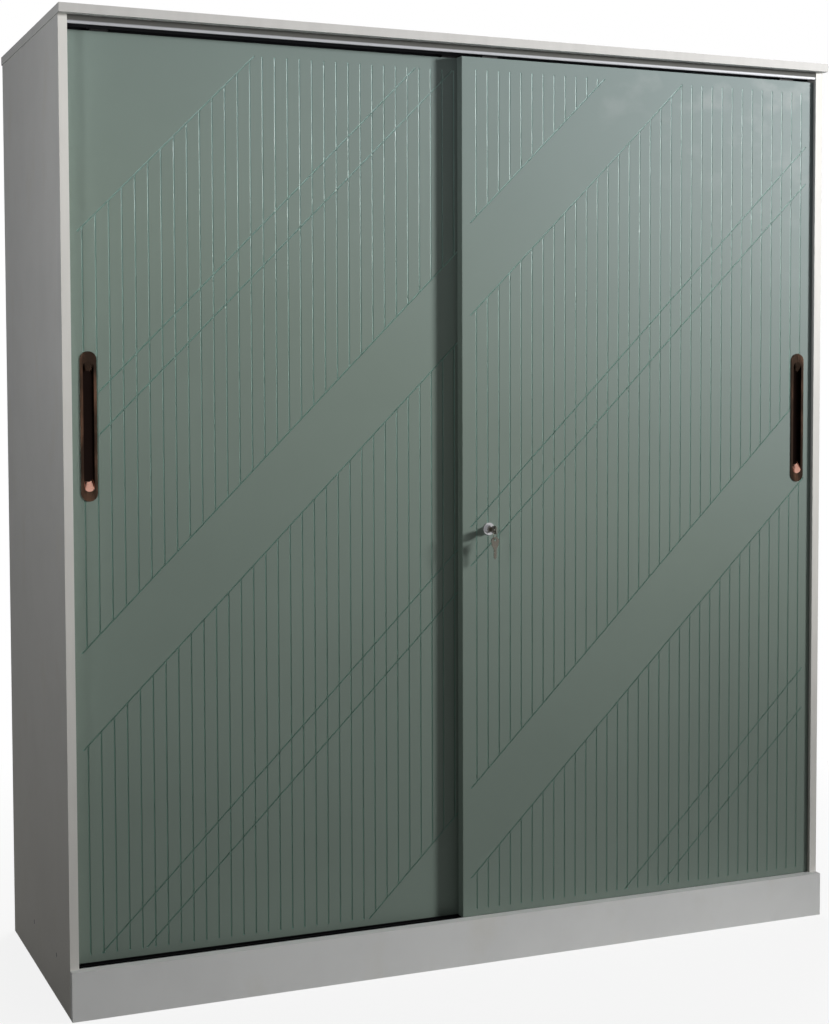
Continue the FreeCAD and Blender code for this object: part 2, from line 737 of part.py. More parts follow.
bottom_track = new_body("bottom_track_blank")
profile = new_sketch(bottom_track, "YZ_Plane", f"(-{INNER})")
track_foot = rebate
draw_polygon(
    profile,
    [
        (BOTTOM_TRACK_FRONT, track_foot),
        (TRACK_BACK, track_foot),
        (TRACK_BACK, DECK),
        (REAR_FIN, DECK),
        (REAR_FIN, BOTTOM_TRACK_FLOOR),
        *rib(REAR_LANE, 1),
        *rib(REAR_LANE, -1),
        (middle_high, BOTTOM_TRACK_FLOOR),
        (middle_high, DECK),
        (middle_low, DECK),
        (middle_low, BOTTOM_TRACK_FLOOR),
        *rib(FRONT_LANE, 1),
        *rib(FRONT_LANE, -1),
        (f"({BOTTOM_TRACK_FRONT} + {WALL})", BOTTOM_TRACK_FLOOR),
        (f"({BOTTOM_TRACK_FRONT} + {WALL})", DECK),
        (BOTTOM_TRACK_FRONT, DECK),
    ],
)
add_feature(bottom_track, "Pad", profile, Length=f"2 * {INNER}")
doc.recompute()
keep("bottom_track", bored("bottom_track", bottom_track, bottom_track_screws))
group("bottom_track_screws", bottom_track_screws)

# The stop in the top track's rear lane, which the rear door's right guide meets.
REAR_TRAVEL = f"({DOOR_WIDTH} - Sizes.door_overlap - Sizes.rear_reveal)"
stop_start = (
    f"({REAR_DOOR_LEFT} + {DOOR_WIDTH} - Sizes.guide_inset + Sizes.guide_head_length / 2"
    f" + {REAR_TRAVEL} + Sizes.buffer_play)"
)
stop_blank = block(
    "rear_door_stop_blank",
    (stop_start, f"({stop_start} + Sizes.stop_length)"),
    (f"({middle_high} + Sizes.buffer_play)", f"({REAR_FIN} - Sizes.buffer_play)"),
    (f"({web} - Sizes.stop_height)", web),
)
stop_foot = Vector(mm(stop_start) + mm(size("stop_length")) / 2, lanes[1], mm(web) - mm(size("stop_height")))
stop_screw = countersunk(stop_foot, Z_UP, mm(size("stop_height")))
keep("rear_door_stop", bored("rear_door_stop", stop_blank, [stop_screw]))
group("top_track_screws", top_track_screws + [stop_screw])

# Buffers on the side panels, which the closing and opening doors meet.
buffer_length = mm(size("side_gap")) - mm(size("buffer_play"))
buffer_radius = mm(size("buffer_radius"))
buffer_tip = buffer_radius - mm(size("buffer_taper"))
buffer_heights = [mm(DOOR_BOTTOM) + mm(size("buffer_inset")), mm(DOOR_TOP) - mm(size("buffer_inset"))]
buffer_places = [(-1, lanes[0]), (-1, lanes[1]), (1, lanes[0])]
group(
    "door_buffers",
    [
        Part.makeCone(buffer_radius, buffer_tip, buffer_length, Vector(side * inner, y, z), -side * X_UP)
        for side, y in buffer_places
        for z in buffer_heights
    ],
)

# ----------------------------------------------------------------------------------------------------------
# Routed pattern
# ----------------------------------------------------------------------------------------------------------


def groove(start, end, hip_start, hip_end):
    """A V-shaped cutter along a line of (along the door, height); a hipped end rises to the face."""
    half_width, depth = mm(size("groove_width")) / 2, mm(size("groove_depth"))
    lift = depth / 5  # the cutter stands this far out of the face
    spread = half_width * (depth + lift) / depth
    run = (end - start).normalize()
    across = Vector(-run.y, run.x, 0)
    foot = start - run * (spread - half_width) * hip_start
    tip = end + run * (spread - half_width) * hip_end
    keel_start = foot + run * spread * hip_start
    keel_end = tip - run * spread * hip_end

    def at(point, y):
        return Vector(point.x, y, point.y)

    a, b = at(foot + across * spread, -lift), at(foot - across * spread, -lift)
    c, d = at(tip - across * spread, -lift), at(tip + across * spread, -lift)
    p, q = at(keel_start, depth), at(keel_end, depth)
    loops = [(a, b, c, d), (a, p, b), (c, q, d), (b, p, q, c), (d, q, p, a)]
    faces = [Part.Face(Part.makePolygon([*loop, loop[0]])) for loop in loops]
    solid = Part.Solid(Part.Shell(faces))
    if solid.Volume < 0:
        solid.reverse()
    return solid


def groove_cutter(name, left, face, first_groove, diagonals, zones):
    """All the grooves of one door, from its left edge, face and pattern."""
    width, pitch = mm(DOOR_WIDTH), mm(size("groove_pitch"))
    top = mm(DOOR_TOP) - mm(size("groove_top_margin"))
    bottom = mm(DOOR_BOTTOM) + mm(size("groove_bottom_margin"))
    margin = mm(size("diagonal_margin"))
    cutters = []
    u = mm(size(first_groove))
    while u < width - margin:
        for low, high in zones:
            foot, tip = max(bottom, low + u), min(top, high + u)
            if tip - foot > pitch / 4:
                cutters.append(groove(Vector(u, foot), Vector(u, tip), foot == bottom, tip == top))
        u += pitch
    for offset in diagonals:
        first = max(margin, bottom - offset)
        last = min(width - margin, top - offset)
        if last - first > pitch / 4:
            ends = Vector(first, offset + first), Vector(last, offset + last)
            cutters.append(groove(*ends, True, True))
    tool = doc.addObject("Part::Feature", name)
    tool.Shape = cutters[0].multiFuse(cutters[1:])
    tool.Placement = Placement(Vector(mm(left), mm(face), 0), Rotation())
    return tool


# ----------------------------------------------------------------------------------------------------------
# Doors
# ----------------------------------------------------------------------------------------------------------


def on_face(y):
    """The sketch offset that puts an XZ sketch at depth y; its normal is -Y."""
    return f"(-({y}))"


def flush_handle(name, x, face):
    """A stadium-shaped cup with sloping ends and a flange that lies on the door's face."""
    flange_face = f"({face} - Sizes.handle_flange)"
    floor = f"({flange_face} + Sizes.handle_depth)"
    middle = size("handle_middle")
    body = new_body(name)
    flange = new_sketch(body, "XZ_Plane", on_face(face))
    draw_stadium(flange, x, middle, size("handle_width"), size("handle_length"))
    add_feature(body, "Pad", flange, Length=size("handle_flange"))
    for kind, near, far, wall in (
        ("AdditiveLoft", face, f"({floor} + Sizes.handle_wall)", "2 * Sizes.handle_wall"),
        ("SubtractiveLoft", flange_face, floor, "0"),
    ):
        sections = []
        for level, y in (("mouth", near), ("floor", far)):
            section = new_sketch(body, "XZ_Plane", on_face(y))
            width = f"(Sizes.handle_{level}_width + {wall})"
            draw_stadium(section, x, middle, width, f"(Sizes.handle_{level}_length + {wall})")
            sections.append(section)
        loft = add_feature(body, kind, sections[0])
        loft.Sections = sections[1:]
    return keep(name, body)


def handle_pocket(body, x, face):
    """The slot in a door that takes the handle's cup."""
    grown = "2 * (Sizes.handle_wall + Sizes.handle_pocket_play)"
    slot = new_sketch(body, "XZ_Plane", on_face(face))
    width = f"(Sizes.handle_mouth_width + {grown})"
    length = f"(Sizes.handle_mouth_length + {grown})"
    draw_stadium(slot, x, size("handle_middle"), width, length)
    depth = "(Sizes.handle_depth - Sizes.handle_flange + Sizes.handle_wall + Sizes.handle_pocket_play)"
    add_feature(body, "Pocket", slot, Length=depth)


def roller(door, side, x, lane):
    """One bottom roller: housing, axle and wheel. Returns the mortise's tools, the screws and the axle."""
    name = f"{door}_{side}_roller"
    top = f"({DOOR_BOTTOM} + Sizes.roller_height)"
    low, high = f"({x} - Sizes.roller_length / 2)", f"({x} + Sizes.roller_length / 2)"
    cheek = "(Sizes.wheel_width / 2 + Sizes.wheel_side_play)"
    near, far = f"({lane} - {cheek} - Sizes.roller_wall)", f"({lane} + {cheek} + Sizes.roller_wall)"
    shell = block(f"{name}_shell", (low, high), (near, far), (DOOR_BOTTOM, top))
    tabs = block(
        f"{name}_tabs",
        (f"({low} - Sizes.roller_tab)", f"({high} + Sizes.roller_tab)"),
        (near, far),
        (DOOR_BOTTOM, f"({DOOR_BOTTOM} + Sizes.roller_wall)"),
    )
    hollow = block(
        f"{name}_hollow",
        (f"({low} + Sizes.roller_wall)", f"({high} - Sizes.roller_wall)"),
        (f"({lane} - {cheek})", f"({lane} + {cheek})"),
        (DOOR_BOTTOM, f"({top} - Sizes.roller_wall)"),
    )
    axle_hole = cylinder(f"{name}_axle_hole", size("axle_radius"), x, near, far, WHEEL_AXIS)
    reach = (mm(size("roller_length")) + mm(size("roller_tab"))) / 2
    seats = [Vector(mm(x) + way * reach, mm(lane), mm(DOOR_BOTTOM)) for way in (-1, 1)]
    screws = [countersunk(seat, Z_UP) for seat in seats]
    screw_holes = doc.addObject("Part::Feature", f"{name}_screw_holes")
    screw_holes.Shape = Part.makeCompound(screws)
    outside = fuse(f"{name}_outside", [shell, tabs])
    keep(f"{name}_housing", cut(f"{name}_housing", outside, [hollow, axle_hole, screw_holes]))

    rim_front, rim_back = f"({lane} - Sizes.wheel_width / 2)", f"({lane} + Sizes.wheel_width / 2)"
    rim = cylinder(f"{name}_rim", size("wheel_radius"), x, rim_front, rim_back, WHEEL_AXIS)
    bore_radius = "(Sizes.axle_radius + Sizes.axle_play)"
    bore = cylinder(f"{name}_bore", bore_radius, x, rim_front, rim_back, WHEEL_AXIS)
    keep(f"{door}_{side}_wheel", cut(f"{door}_{side}_wheel", rim, [bore]))
    axle_foot = Vector(mm(x), mm(near), mm(WHEEL_AXIS))
    axle = Part.makeCylinder(mm(size("axle_radius")), mm(far) - mm(near), axle_foot, Y_UP)
    return [outside], screws, axle


def top_guide(door, side, x, lane):
    """A nylon guide: a plate let into the door's upper edge, a neck and a head that runs in the track."""
    name = f"{door}_{side}_guide"
    plate_bottom = f"({DOOR_TOP} - Sizes.guide_plate)"
    head_bottom = f"({CEILING} - Sizes.top_track_height + Sizes.guide_head_lift)"
    body = new_body(f"{name}_blank")
    for level, half_width, corner, bottom, height in (
        ("plate", "Sizes.guide_plate_width / 2", None, plate_bottom, size("guide_plate")),
        ("neck", "Sizes.guide_neck_width / 2", None, DOOR_TOP, f"({head_bottom} - {DOOR_TOP})"),
        ("head", GUIDE_HALF, size("guide_head_corner"), head_bottom, size("guide_head_height")),
    ):
        outline = new_sketch(body, "XY_Plane", bottom)
        half_length = f"Sizes.guide_{level}_length / 2"
        x_low, x_high = f"({x} - {half_length})", f"({x} + {half_length})"
        y_low, y_high = f"({lane} - {half_width})", f"({lane} + {half_width})"
        if corner:
            draw_polygon(
                outline,
                [
                    (f"({x_low} + {corner})", y_low),
                    (f"({x_high} - {corner})", y_low),
                    (x_high, f"({y_low} + {corner})"),
                    (x_high, f"({y_high} - {corner})"),
                    (f"({x_high} - {corner})", y_high),
                    (f"({x_low} + {corner})", y_high),
                    (x_low, f"({y_high} - {corner})"),
                    (x_low, f"({y_low} + {corner})"),
                ],
            )
        else:
            draw_box(outline, x_low, x_high, y_low, y_high)
        add_feature(body, "Pad", outline, Length=height)
    reach = (mm(size("guide_plate_length")) + mm(size("guide_neck_length"))) / 4
    screws = [countersunk(Vector(mm(x) + way * reach, mm(lane), mm(DOOR_TOP)), -Z_UP) for way in (-1, 1)]
    doc.recompute()
    keep(name, bored(name, body, screws))
    seat = block(
        f"{name}_seat",
        (f"({x} - Sizes.guide_plate_length / 2)", f"({x} + Sizes.guide_plate_length / 2)"),
        (f"({lane} - Sizes.guide_plate_width / 2)", f"({lane} + Sizes.guide_plate_width / 2)"),
        (f"({DOOR_TOP} - Sizes.guide_plate)", DOOR_TOP),
    )
    return [seat], screws


# Half the width of a guide's head: it nearly touches the fin between the two lanes.
GUIDE_HALF = f"({MIDDLE_FIN} - Sizes.track_wall / 2 - Sizes.guide_play - {FRONT_LANE})"


def door(side, left, face, lane, handle_x, cutter, has_lock):
    """A panel with its handle, rollers and guides, bored for the lock if it has one."""
    blank = new_body(f"{side}_door_blank")
    outline = new_sketch(blank, "XZ_Plane", on_face(f"{face} + Sizes.door_thickness"))
    draw_box(outline, left, f"({left} + {DOOR_WIDTH})", DOOR_BOTTOM, DOOR_TOP)
    slab = add_feature(blank, "Pad", outline, Length=size("door_thickness"))
    doc.recompute()
    rounding = blank.newObject("PartDesign::Fillet", f"{side}_door_rounding")
    front_edges = [
        f"Edge{n}"
        for n, edge in enumerate(slab.Shape.Edges, start=1)
        if all(abs(corner.Y - mm(face)) < 1e-6 for corner in edge.Vertexes)
    ]
    rounding.Base = (slab, front_edges)
    rounding.setExpression("Radius", size("door_edge"))
    handle_pocket(blank, handle_x, face)
    if has_lock:
        bore = new_sketch(blank, "XZ_Plane", on_face(face))
        draw_circle(bore, LOCK_X, size("lock_height"), size("barrel_radius"))
        add_feature(blank, "Pocket", bore, Length=size("door_thickness"))
    tools, screws, axles = [cutter], [], []
    for end, inset_from in (("left", f"({left} + "), ("right", f"({left} + {DOOR_WIDTH} - ")):
        more_tools, more_screws, axle = roller(side, end, f"{inset_from}Sizes.roller_inset)", lane)
        tools += more_tools
        screws += more_screws
        axles.append(axle)
        more_tools, more_screws = top_guide(side, end, f"{inset_from}Sizes.guide_inset)", lane)
        tools += more_tools
        screws += more_screws
    screw_holes = doc.addObject("Part::Feature", f"{side}_door_screw_holes")
    screw_holes.Shape = Part.makeCompound(screws)
    panel = blank
    for n, tool in enumerate([*tools, screw_holes]):
        panel = cut(f"{side}_door_cut_{n}", panel, [tool])
    keep(f"{side}_door_panel", panel)
    group(f"{side}_door_axles", axles)
    group(f"{side}_door_screws", screws)
    flush_handle(f"{side}_door_handle", handle_x, face)


front_pattern = ("front_first_groove", FRONT_DIAGONALS, FRONT_UPRIGHT_ZONES)
rear_pattern = ("rear_first_groove", REAR_DIAGONALS, REAR_UPRIGHT_ZONES)
front_cutter = groove_cutter("front_door_grooves", FRONT_DOOR_LEFT, FRONT_DOOR_FACE, *front_pattern)
rear_cutter = groove_cutter("rear_door_grooves", REAR_DOOR_LEFT, REAR_DOOR_FACE, *rear_pattern)
front_handle_x = f"({FRONT_DOOR_LEFT} + {DOOR_WIDTH} - Sizes.handle_inset)"
rear_handle_x = f"({REAR_DOOR_LEFT} + Sizes.handle_inset)"
door("front", FRONT_DOOR_LEFT, FRONT_DOOR_FACE, FRONT_LANE, front_handle_x, front_cutter, True)
door("rear", REAR_DOOR_LEFT, REAR_DOOR_FACE, REAR_LANE, rear_handle_x, rear_cutter, False)

# ----------------------------------------------------------------------------------------------------------
# Push lock, keys and key ring
# ----------------------------------------------------------------------------------------------------------

LOCK_Z = size("lock_height")
DOOR_BACK = f"({FRONT_DOOR_FACE} + Sizes.door_thickness)"
ROSETTE_FACE = f"({FRONT_DOOR_FACE} - Sizes.rosette)"
PLUNGER_FACE = f"({ROSETTE_FACE} - Sizes.plunger_stand - Sizes.lock_travel)"
SHOULDER = f"({FRONT_DOOR_FACE} + Sizes.plunger_depth)"
SPRING_SPACE = "(Sizes.lock_travel + Sizes.spring_pressed)"
BOLT_TIP = f"({DOOR_BACK} + Sizes.bolt_rest)"
BARREL_END = f"({DOOR_BACK} + Sizes.lock_nut)"


def turned(name, radius, y_low, y_high):
    """A round piece on the lock's axis."""
    return cylinder(name, radius, LOCK_X, y_low, y_high, LOCK_Z)


rosette = turned("lock_rosette", size("rosette_radius"), ROSETTE_FACE, FRONT_DOOR_FACE)
barrel = turned("lock_barrel", size("barrel_radius"), FRONT_DOOR_FACE, BARREL_END)
plunger_bore = turned(
    "lock_plunger_bore",
    "(Sizes.plunger_radius + Sizes.lock_play)",
    ROSETTE_FACE,
    f"({SHOULDER} + {SPRING_SPACE})",
)
bolt_bore = turned("lock_bolt_bore", "(Sizes.bolt_radius + Sizes.lock_play)", ROSETTE_FACE, BARREL_END)
keep(
    "lock_housing",
    cut("lock_housing", fuse("lock_housing_outside", [rosette, barrel]), [plunger_bore, bolt_bore]),
)
nut = turned("lock_nut_blank", size("lock_nut_radius"), DOOR_BACK, BARREL_END)
nut_bore = turned("lock_nut_bore", size("barrel_radius"), DOOR_BACK, BARREL_END)
keep("lock_nut", cut("lock_nut", nut, [nut_bore]))

plunger_head = turned("lock_plunger_head", size("plunger_radius"), PLUNGER_FACE, SHOULDER)
bolt = turned("lock_bolt", size("bolt_radius"), SHOULDER, BOLT_TIP)
PLUG_STEP = f"({PLUNGER_FACE} + Sizes.plug_head)"
PLUG_END = f"({PLUNGER_FACE} + Sizes.plug_length)"
plug_bore = turned("lock_plug_bore", "(Sizes.plug_radius + Sizes.plug_play)", PLUNGER_FACE, PLUG_STEP)
tail_bore = turned("lock_tail_bore", "(Sizes.plug_tail_radius + Sizes.plug_play)", PLUNGER_FACE, PLUG_END)
plunger_outside = fuse("lock_plunger_outside", [plunger_head, bolt])
keep("lock_plunger", cut("lock_plunger", plunger_outside, [plug_bore, tail_bore]))


def spring():
    """The round-wire compression spring behind the plunger, around its bolt."""
    wire, radius = mm(size("spring_wire")), mm(size("spring_radius"))
    length = mm(SPRING_SPACE) - 2 * (wire + mm(size("spring_play")))
    helix = Part.makeHelix(length / mm(size("spring_turns")), length, radius)
    start = helix.Edges[0].valueAt(helix.Edges[0].FirstParameter)
    heading = helix.Edges[0].tangentAt(helix.Edges[0].FirstParameter)
    section = Part.Wire(Part.makeCircle(wire, start, heading))
    coil = Part.Wire(helix.Edges).makePipeShell([section], True, True)
    foot = Vector(mm(LOCK_X), mm(SHOULDER) + wire + mm(size("spring_play")), mm(LOCK_Z))
    coil.Placement = Placement(foot, Rotation(X_UP, -90))
    return coil


group("lock_spring", [spring()])

KEY_TIP_Y = f"({PLUNGER_FACE} + Sizes.key_blade_length - Sizes.key_stand_off)"
keyway = block(
    "lock_keyway",
    (f"({LOCK_X} - Sizes.key_thickness / 2)", f"({LOCK_X} + Sizes.key_thickness / 2)"),
    (PLUNGER_FACE, KEY_TIP_Y),
    (f"({LOCK_Z} - Sizes.key_blade_width / 2)", f"({LOCK_Z} + Sizes.key_blade_width / 2)"),
)
plug_head = turned("lock_plug_head", size("plug_radius"), PLUNGER_FACE, PLUG_STEP)
plug_tail = turned("lock_plug_tail", size("plug_tail_radius"), PLUNGER_FACE, PLUG_END)
keep("lock_plug", cut("lock_plug", fuse("lock_plug_outside", [plug_head, plug_tail]), [keyway]))

BOW_MIDDLE = "(Sizes.key_length - Sizes.key_bow_radius)"
HOLE_REACH = f"({BOW_MIDDLE} + Sizes.key_hole_offset)"


def key_outline(body):
    """A flat key in the XY plane, along +X from the tip of its blade at the origin."""
    half_blade, half_shoulder = "(Sizes.key_blade_width / 2)", "(Sizes.key_shoulder_width / 2)"
    shoulder_end = "(Sizes.key_blade_length + Sizes.key_shoulder)"
    outline = [("0", "0"), (size("key_tip"), f"(-{half_blade})")]
    for n, depth in enumerate(KEY_CUTS):
        middle = f"(Sizes.key_tip + Sizes.key_cut_pitch * ({n} + 1 / 2))"
        outline += [
            (f"({middle} - {depth})", f"(-{half_blade})"),
            (middle, f"({depth} - {half_blade})"),
            (f"({middle} + {depth})", f"(-{half_blade})"),
        ]
    outline += [
        (size("key_blade_length"), f"(-{half_blade})"),
        (shoulder_end, f"(-{half_shoulder})"),
        (BOW_MIDDLE, f"(-{half_shoulder})"),
        (BOW_MIDDLE, half_shoulder),
        (shoulder_end, half_shoulder),
        (size("key_blade_length"), half_blade),
        (size("key_tip"), half_blade),
    ]
    blade = new_sketch(body, "XY_Plane", "(-Sizes.key_thickness / 2)")
    draw_polygon(blade, outline)
    add_feature(body, "Pad", blade, Length=size("key_thickness"))
    bow = new_sketch(body, "XY_Plane", "(-Sizes.key_thickness / 2)")
    draw_circle(bow, BOW_MIDDLE, "0", size("key_bow_radius"))
    add_feature(body, "Pad", bow, Length=size("key_thickness"))
    hole = new_sketch(body, "XY_Plane", "(Sizes.key_thickness / 2)")
    draw_circle(hole, HOLE_REACH, "0", size("key_hole_radius"))
    add_feature(body, "Pocket", hole, Length=size("key_thickness"))


lock_x, lock_z = mm(LOCK_X), mm(LOCK_Z)
key_hole_y = mm(KEY_TIP_Y) - mm(HOLE_REACH)
ring_hang = mm(size("key_hole_radius")) - mm(size("ring_wire")) - mm(size("ring_lift"))
ring_middle_z = lock_z - ring_hang - mm(size("ring_radius"))
spare_hole_z = ring_middle_z - mm(size("ring_radius")) - ring_hang

# The key in the lock points along +Y with its bow upright; the spare one hangs with its flat to the front.
key = new_body("key")
key_outline(key)
key.Placement = Placement(
    Vector(lock_x, mm(KEY_TIP_Y), lock_z),
    Rotation(Vector(0, -1, 0), Vector(0, 0, 1), Vector(1, 0, 0), "XYZ"),
)
keep("key", key)
spare = new_body("spare_key")
key_outline(spare)
spare.Placement = Placement(
    Vector(lock_x, key_hole_y, spare_hole_z - mm(HOLE_REACH)),
    Rotation(Vector(0, 0, 1), Vector(1, 0, 0), Vector(0, 1, 0), "XYZ"),
)
keep("spare_key", spare)
ring = doc.addObject("Part::Torus", "key_ring")
ring.setExpression("Radius1", size("ring_radius"))
ring.setExpression("Radius2", size("ring_wire"))
askew = Rotation(Vector(0, 0, 1), Vector(1, -1, 0))  # the ring's plane is at 45 degrees to both keys
ring.Placement = Placement(Vector(lock_x, key_hole_y, ring_middle_z), askew)
keep("key_ring", ring)

# ----------------------------------------------------------------------------------------------------------
# Checks and export
# ----------------------------------------------------------------------------------------------------------

doc.recompute()
for thing in doc.Objects:
    if "Invalid" in thing.State or "Error" in thing.State:
        raise RuntimeError(f"{thing.Name} did not compute: {thing.State}")
for node, thing in parts.items():
    if thing.Shape.isNull() or not thing.Shape.isValid() or not thing.Shape.Solids:
        raise RuntimeError(f"{node} has no valid solid")
os.makedirs("parts", exist_ok=True)
for node, thing in parts.items():
    thing.Shape.exportStep(f"parts/{node}.step")
print(f"{len(parts)} parts written")
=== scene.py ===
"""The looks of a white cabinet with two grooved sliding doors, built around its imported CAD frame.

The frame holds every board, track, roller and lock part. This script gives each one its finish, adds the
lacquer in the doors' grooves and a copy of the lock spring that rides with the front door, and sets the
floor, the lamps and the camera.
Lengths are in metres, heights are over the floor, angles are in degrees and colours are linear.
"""

import json
import math

import bmesh
import bpy
from mathutils import Euler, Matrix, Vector


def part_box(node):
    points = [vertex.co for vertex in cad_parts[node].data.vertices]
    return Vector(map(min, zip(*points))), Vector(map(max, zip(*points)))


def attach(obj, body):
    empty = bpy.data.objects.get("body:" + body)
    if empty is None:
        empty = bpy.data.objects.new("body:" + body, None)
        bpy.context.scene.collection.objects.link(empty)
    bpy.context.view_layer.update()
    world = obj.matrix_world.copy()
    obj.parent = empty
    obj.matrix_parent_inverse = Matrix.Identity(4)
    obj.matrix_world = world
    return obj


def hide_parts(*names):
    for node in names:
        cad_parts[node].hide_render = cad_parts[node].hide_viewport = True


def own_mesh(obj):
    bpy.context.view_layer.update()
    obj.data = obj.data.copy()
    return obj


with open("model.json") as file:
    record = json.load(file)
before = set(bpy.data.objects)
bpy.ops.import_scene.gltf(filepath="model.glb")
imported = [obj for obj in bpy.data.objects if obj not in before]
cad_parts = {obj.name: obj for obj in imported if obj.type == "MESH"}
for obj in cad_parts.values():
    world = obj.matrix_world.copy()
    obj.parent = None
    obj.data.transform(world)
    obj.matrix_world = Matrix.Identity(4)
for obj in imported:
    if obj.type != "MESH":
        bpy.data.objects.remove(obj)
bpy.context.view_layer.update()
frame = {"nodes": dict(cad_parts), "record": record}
nodes = frame["nodes"]

# ----------------------------------------------------------------------------------------------------------
# Colours
# ----------------------------------------------------------------------------------------------------------

WHITE = (0.80, 0.805, 0.795)
CREAM = (0.745, 0.730, 0.690)
TOP_BAND = (0.59, 0.58, 0.56)
# painted shade at the boards' foot, browner than the board
FOOT_SHADE = (0.42, 0.395, 0.34)
STAIN_LEAVES = (0.90, 0.87, 0.80)  # of each channel of the board's colour
RAW_BOARD = (0.50, 0.37, 0.22)
BEECH = (0.52, 0.33, 0.16)

SAGE = (0.178, 0.226, 0.194)
# painted sheen on the doors' upper right, and real smears shown lighter in it as painted sheen
SAGE_SHEEN = (0.190, 0.238, 0.234)
SMEAR_IN_SHEEN = (0.30, 0.335, 0.33)
TEAL = (0.105, 0.250, 0.200)
# painted shade near the floor, the lacquer's own tone, and a painted highlight towards the top
LACQUER_SHADE = (0.118, 0.233, 0.180)
LACQUER = (0.230, 0.405, 0.340)
LACQUER_HIGHLIGHT = (0.370, 0.530, 0.500)

COPPER = (0.115, 0.062, 0.040)
COPPER_DARK = (0.028, 0.018, 0.013)
# painted glint on the handles' lower slopes, and painted shade on the floors of their recesses
COPPER_GLINT = (0.58, 0.31, 0.24)
COPPER_SHADE = (0.010, 0.006, 0.005)
CHROME = (0.46, 0.46, 0.47)
NICKEL = (0.135, 0.125, 0.105)
STEEL = (0.55, 0.56, 0.57)
# the carcass screws' heads, dark
SCREW_DARK = (0.030, 0.028, 0.024)
# painted shade on the roller housings
ZINC_IN_SHADE = (0.05, 0.05, 0.052)
ALUMINIUM = (0.30, 0.305, 0.325)
# painted highlight on the fascia's bead, and painted shadow of the top board on the fascia above it
BEAD_HIGHLIGHT = (0.44, 0.445, 0.47)
BOARD_SHADOW = (0.085, 0.085, 0.078)
# painted shade inside the top track, behind its foremost fin
TRACK_SHADE = (0.035, 0.036, 0.040)
BLACK = (0.012, 0.012, 0.013)

WHITE_NYLON = (0.80, 0.80, 0.76)
# painted shade on the doors' guides
NYLON_IN_SHADE = (0.018, 0.018, 0.019)
RUBBER = (0.55, 0.55, 0.54)

FLOOR_SEEN = (0.80, 0.80, 0.79)
FLOOR_BOUNCE = (0.12, 0.12, 0.115)

# ----------------------------------------------------------------------------------------------------------
# Heights and spans over which a finish, or its painted light and shade, changes, each as (start, end)
# ----------------------------------------------------------------------------------------------------------

# height over which the boards' painted shade fades out upwards
FOOT_SHADE_SPAN = (0.0, 1.3)
SHEEN_DIRECTION = (0.55, 0, 1)  # the doors' painted sheen grows upwards and to the right
SHEEN_SPAN = (1.2, 2.3)  # along that direction: where the painted sheen grows
SMEAR_SHEEN_SPAN = (1.9, 2.45)  # along that direction: where smears show lighter, partly real marks and partly painted sheen
# spans of the painted highlight and painted shade in the grooves' lacquer
GROOVE_HIGHLIGHT_SPAN = (1.3, 1.9)
LACQUER_SHADE_SPAN = (0.7, 1.4)
LACQUER_HIGHLIGHT_SPAN = (1.4, 1.85)
# the fascia's painted bead highlight, then the top board's painted shadow above the bead
BEAD_HIGHLIGHT_STARTS = (1.9, 1.95)
BOARD_SHADOW_STARTS = (1.987, 1.990)

# ----------------------------------------------------------------------------------------------------------
# Forms that the finishes and the added pieces follow
# ----------------------------------------------------------------------------------------------------------

METAL_GRAIN = 0.002
ALONG_X = (0.03, 1, 1)  # stretch of a grain that runs along the tracks

FACING = 0.9  # a face whose normal has this much of a direction faces that way

DOOR_ROUNDING = 0.003
GROOVE_DEPTH = 0.0015
GROOVE_REACH = 0.004
GROOVE_WALL = (0.2, 0.97)  # between these, |normal.y| is a groove's sloping wall
FLOOR_LINE_SLACK = 0.00005
SHORTEST_LINE = 0.004

RIBBON_HALF_WIDTH = 0.00145
RIBBON_TURN = 29
RIBBON_STRIPS = 6

RECESS_DEPTH = 0.006
RAMP_FOOT = 0.015
RAMP_TOP = 0.05
RAMP_UPWARDS = 0.15
RAMP_FORWARDS = 0.2

FIN_DEPTH = 0.0045
FIN_BACK = 0.3  # a face of the top track that looks backwards by this much is painted dark as shade

# ----------------------------------------------------------------------------------------------------------
# Stage
# ----------------------------------------------------------------------------------------------------------

FLOOR_SIZE = 60
SHADOWED = (0.9, 2.2)  # distance from the cabinet's middle over which the floor turns to plain white
GLOW_NEAR = 0.87
AMBIENT = 0.04

SENSOR = 36.0
LENS = 62.839
CAMERA_SHIFT = (-0.03268, -0.04263)
CAMERA_PLACE = (-1.60206, -3.85132, 1.28831)
CAMERA_TURN = (87.0816, 0.1243, -23.4488)

# ----------------------------------------------------------------------------------------------------------
# Shader building
# ----------------------------------------------------------------------------------------------------------


